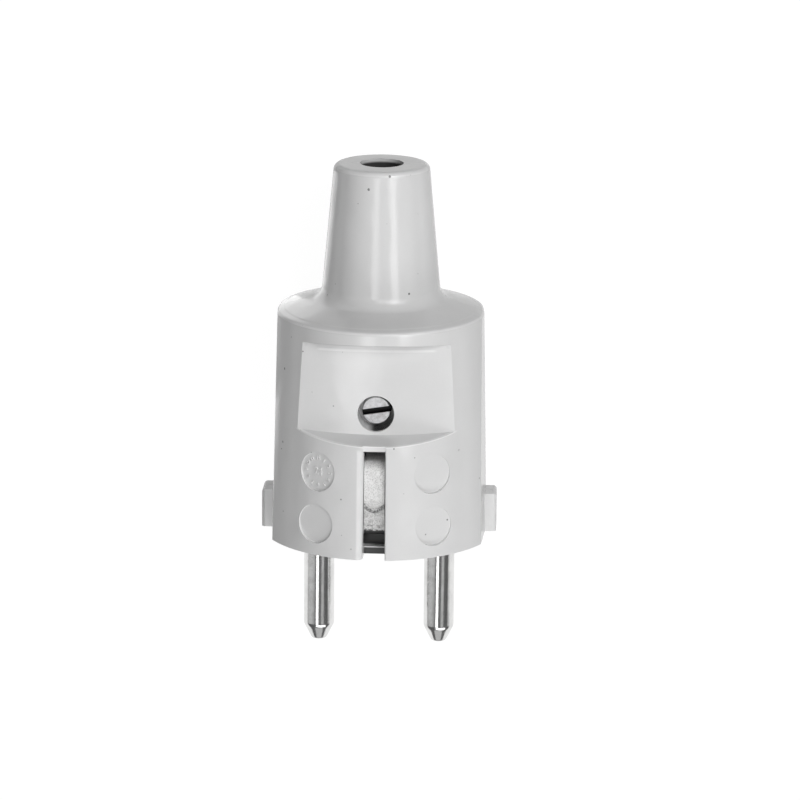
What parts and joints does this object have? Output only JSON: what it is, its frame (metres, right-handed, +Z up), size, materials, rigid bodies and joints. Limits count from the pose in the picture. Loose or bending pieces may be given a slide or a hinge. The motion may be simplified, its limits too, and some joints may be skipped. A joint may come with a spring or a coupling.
{
  "type": "earthed mains plug",
  "caption": "Rewirable earthed mains plug in light grey plastic: screwed half shells, round contact pins, sprung earth contacts and a tapered neck for the cord.",
  "frame": {"origin": "middle of the footprint, on the floor that the plug lies on", "axes": "+Z up, out of the front with the housing screw; +Y towards the cord neck and -Y towards the contact pins, with the plug's axis leaning 3.7 degrees as it lies on its tapered rear shell; +X to the right seen from the front with the neck up"},
  "size_m": [0.0368, 0.0774, 0.0369],
  "materials": {
    "shell_plastic": "glossy moulded, light neutral grey",
    "inner_plastic": "moulded, light grey",
    "nickel_plate": "nickel-plated brass",
    "zinc_steel": "bright zinc-plated steel"
  },
  "bodies": {
    "root": {"front_half_shell": "shell_plastic", "rear_half_shell": "shell_plastic", "housing_screw": "zinc_steel", "housing_nut": "zinc_steel", "pin_carrier": "inner_plastic", "left_pin": "nickel_plate", "right_pin": "nickel_plate", "left_terminal_screw": "zinc_steel", "right_terminal_screw": "zinc_steel", "earth_bow": "nickel_plate", "earth_clamp_washer": "zinc_steel", "earth_screw": "zinc_steel", "cord_clamp": "inner_plastic", "left_clamp_screw": "zinc_steel", "right_clamp_screw": "zinc_steel"}
  },
  "joints": []
}
